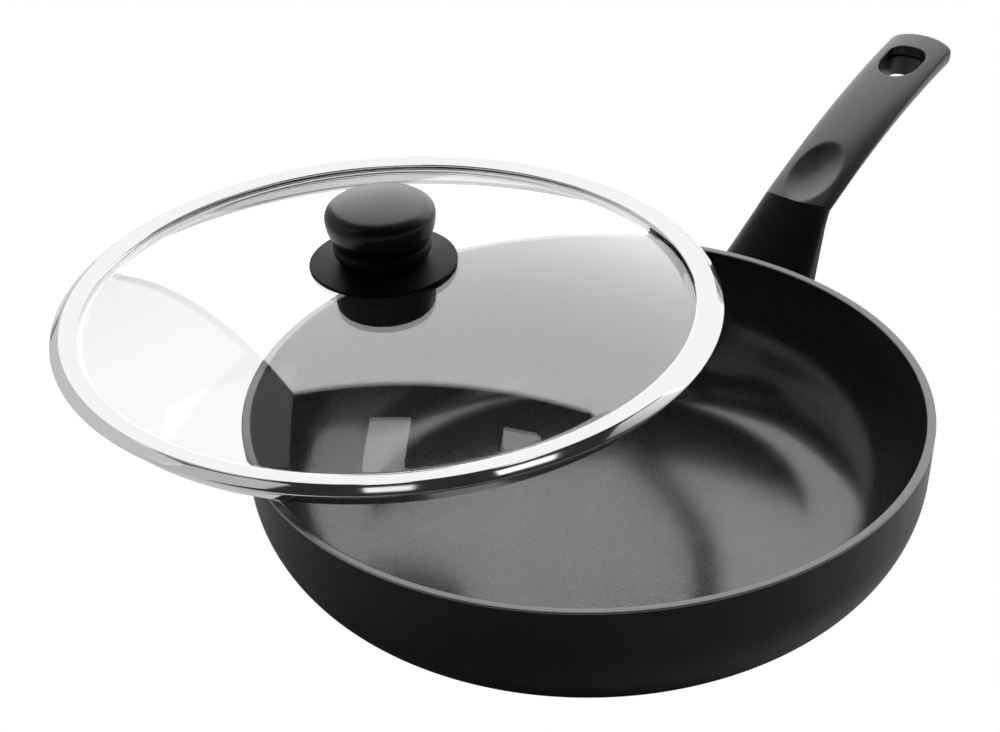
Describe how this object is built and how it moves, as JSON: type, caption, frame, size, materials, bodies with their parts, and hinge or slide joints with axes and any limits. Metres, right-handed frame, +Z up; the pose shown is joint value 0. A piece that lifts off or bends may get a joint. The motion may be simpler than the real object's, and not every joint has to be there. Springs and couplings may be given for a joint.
{
  "type": "saute pan with lid",
  "caption": "Round-cornered coated saute pan with a rising screwed-on handle and a loose domed glass lid with a steel rim and mushroom knob.",
  "frame": {"origin": "centre of the base, on the surface that the pan stands on", "axes": "+Z up out of the pan's mouth, +X along the handle from the pan's middle"},
  "size_m": [0.453, 0.3897, 0.1262],
  "materials": {
    "lacquer": "satin black heat-proof lacquer on cast aluminium",
    "ceramic_coat": "dark grey ceramic non-stick coat with fine pale specks",
    "bare_aluminium": "bare machined rim",
    "bakelite": "black moulded bakelite, fine matte grain",
    "soft_touch": "charcoal soft-touch coat on the grip",
    "polished_steel": "mirror-polished stainless steel",
    "disc_steel": "turned stainless steel with fine concentric lines",
    "fastener_steel": "zinc-plated steel",
    "brass": "turned brass",
    "silicone": "translucent grey silicone",
    "glass": "clear tempered glass"
  },
  "bodies": {
    "pan": {"pan_body": "lacquer", "induction_disc": "disc_steel", "handle_stud": "fastener_steel", "handle_neck": "bakelite", "neck_washer": "fastener_steel", "neck_screw": "fastener_steel", "handle_grip": "soft_touch", "grip_screw": "fastener_steel"},
    "lid": {"lid_glass": "glass", "lid_rim": "polished_steel", "knob_base": "bakelite", "knob_head": "bakelite", "knob_insert": "brass", "knob_seal_upper": "silicone", "knob_seal_lower": "silicone", "knob_washer": "fastener_steel", "knob_screw": "fastener_steel"}
  },
  "joints": [
    {"name": "lid_lift", "type": "slide", "parent": "pan", "child": "lid", "axis": [0, 0, 1], "range_m": [0, 0.2]}
  ]
}
